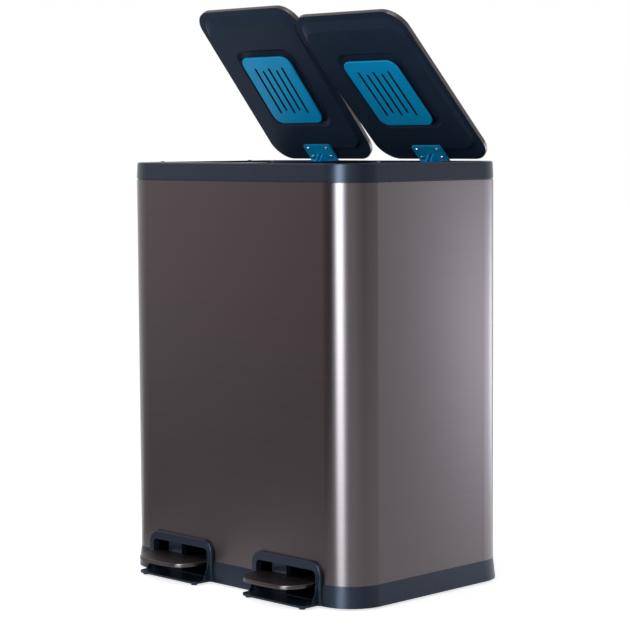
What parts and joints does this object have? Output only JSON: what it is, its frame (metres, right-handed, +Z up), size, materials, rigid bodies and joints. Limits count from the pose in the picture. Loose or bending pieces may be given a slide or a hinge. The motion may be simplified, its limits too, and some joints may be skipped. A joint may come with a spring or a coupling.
{
  "type": "double pedal recycling bin",
  "caption": "Tall steel bin with two side by side openings; each hinged lid holds a filter cassette and is lifted by its own pedal, lever and push rod over a hanging bucket.",
  "frame": {"origin": "on the floor, in the middle of the footprint with the pedals counted in", "axes": "+Z up, the front with the pedals faces -Y, +X to the right of a person who faces the front"},
  "size_m": [0.512, 0.4032, 0.8863],
  "materials": {
    "brushed_steel": "horizontally brushed, warm dark grey coating",
    "rim_plastic": "moulded, satin",
    "liner_plastic": "moulded, fine texture",
    "teal_plastic": "moulded, soft gloss",
    "bucket_plastic": "moulded, matt",
    "plated_steel": "zinc plated",
    "painted_steel": "black powder coat",
    "rubber": "soft matt",
    "carbon_foam": "open carbon foam"
  },
  "bodies": {
    "bin_body": {"steel_shell": "brushed_steel", "base_moulding": "rim_plastic", "rim_frame": "rim_plastic", "rubber_feet": "rubber", "pedal_surround_left": "rim_plastic", "inner_bucket_left": "bucket_plastic", "lid_buffers_left": "rubber", "hinge_pin_left": "plated_steel", "pivot_pin_left": "plated_steel", "rod_guide_left": "bucket_plastic", "damper_cylinder_left": "painted_steel", "pedal_surround_right": "rim_plastic", "inner_bucket_right": "bucket_plastic", "lid_buffers_right": "rubber", "hinge_pin_right": "plated_steel", "pivot_pin_right": "plated_steel", "rod_guide_right": "bucket_plastic", "damper_cylinder_right": "painted_steel"},
    "lid_left": {"lid_cover_left": "brushed_steel", "lid_liner_left": "liner_plastic", "hinge_bracket_left": "teal_plastic", "bracket_screws_left": "plated_steel"},
    "cassette_left": {"filter_grille_left": "teal_plastic", "filter_tray_left": "liner_plastic", "filter_pad_left": "carbon_foam"},
    "pedal_left": {"pedal_plate_left": "brushed_steel", "pedal_lever_left": "painted_steel", "pedal_rivets_left": "plated_steel"},
    "rod_left": {"push_rod_left": "plated_steel", "damper_piston_left": "plated_steel"},
    "lid_right": {"lid_cover_right": "brushed_steel", "lid_liner_right": "liner_plastic", "hinge_bracket_right": "teal_plastic", "bracket_screws_right": "plated_steel"},
    "cassette_right": {"filter_grille_right": "teal_plastic", "filter_tray_right": "liner_plastic", "filter_pad_right": "carbon_foam"},
    "pedal_right": {"pedal_plate_right": "brushed_steel", "pedal_lever_right": "painted_steel", "pedal_rivets_right": "plated_steel"},
    "rod_right": {"push_rod_right": "plated_steel", "damper_piston_right": "plated_steel"}
  },
  "joints": [
    {"name": "lid_left_hinge", "type": "hinge", "parent": "bin_body", "child": "lid_left", "pos_m": [-0.1223, 0.18, 0.637], "axis": [-1, 0, 0], "range_deg": [-50.4, 19.6]},
    {"name": "pedal_left_hinge", "type": "hinge", "parent": "bin_body", "child": "pedal_left", "pos_m": [-0.1223, 0.0056, 0.025], "axis": [1, 0, 0], "range_deg": [-5.05, 1.96]},
    {"name": "rod_left_slide", "type": "slide", "parent": "bin_body", "child": "rod_left", "axis": [0, 0, 1], "range_m": [-0.01411, 0.00549]},
    {"name": "cassette_left_slide", "type": "slide", "parent": "lid_left", "child": "cassette_left", "axis": [0, -0.7705, -0.6374], "range_m": [0, 0.02]},
    {"name": "lid_right_hinge", "type": "hinge", "parent": "bin_body", "child": "lid_right", "pos_m": [0.1223, 0.18, 0.637], "axis": [-1, 0, 0], "range_deg": [-45, 25]},
    {"name": "pedal_right_hinge", "type": "hinge", "parent": "bin_body", "child": "pedal_right", "pos_m": [0.1223, 0.0056, 0.025], "axis": [1, 0, 0], "range_deg": [-4.51, 2.5]},
    {"name": "rod_right_slide", "type": "slide", "parent": "bin_body", "child": "rod_right", "axis": [0, 0, 1], "range_m": [-0.0126, 0.007]},
    {"name": "cassette_right_slide", "type": "slide", "parent": "lid_right", "child": "cassette_right", "axis": [0, -0.7071, -0.7071], "range_m": [0, 0.02]}
  ],
  "couplings": [
    {"joint": "pedal_left_hinge", "follows": "lid_left_hinge", "ratio": 0.10008},
    {"joint": "rod_left_slide", "follows": "lid_left_hinge", "m_per_rad": 0.016043},
    {"joint": "pedal_right_hinge", "follows": "lid_right_hinge", "ratio": 0.10008},
    {"joint": "rod_right_slide", "follows": "lid_right_hinge", "m_per_rad": 0.016043}
  ]
}
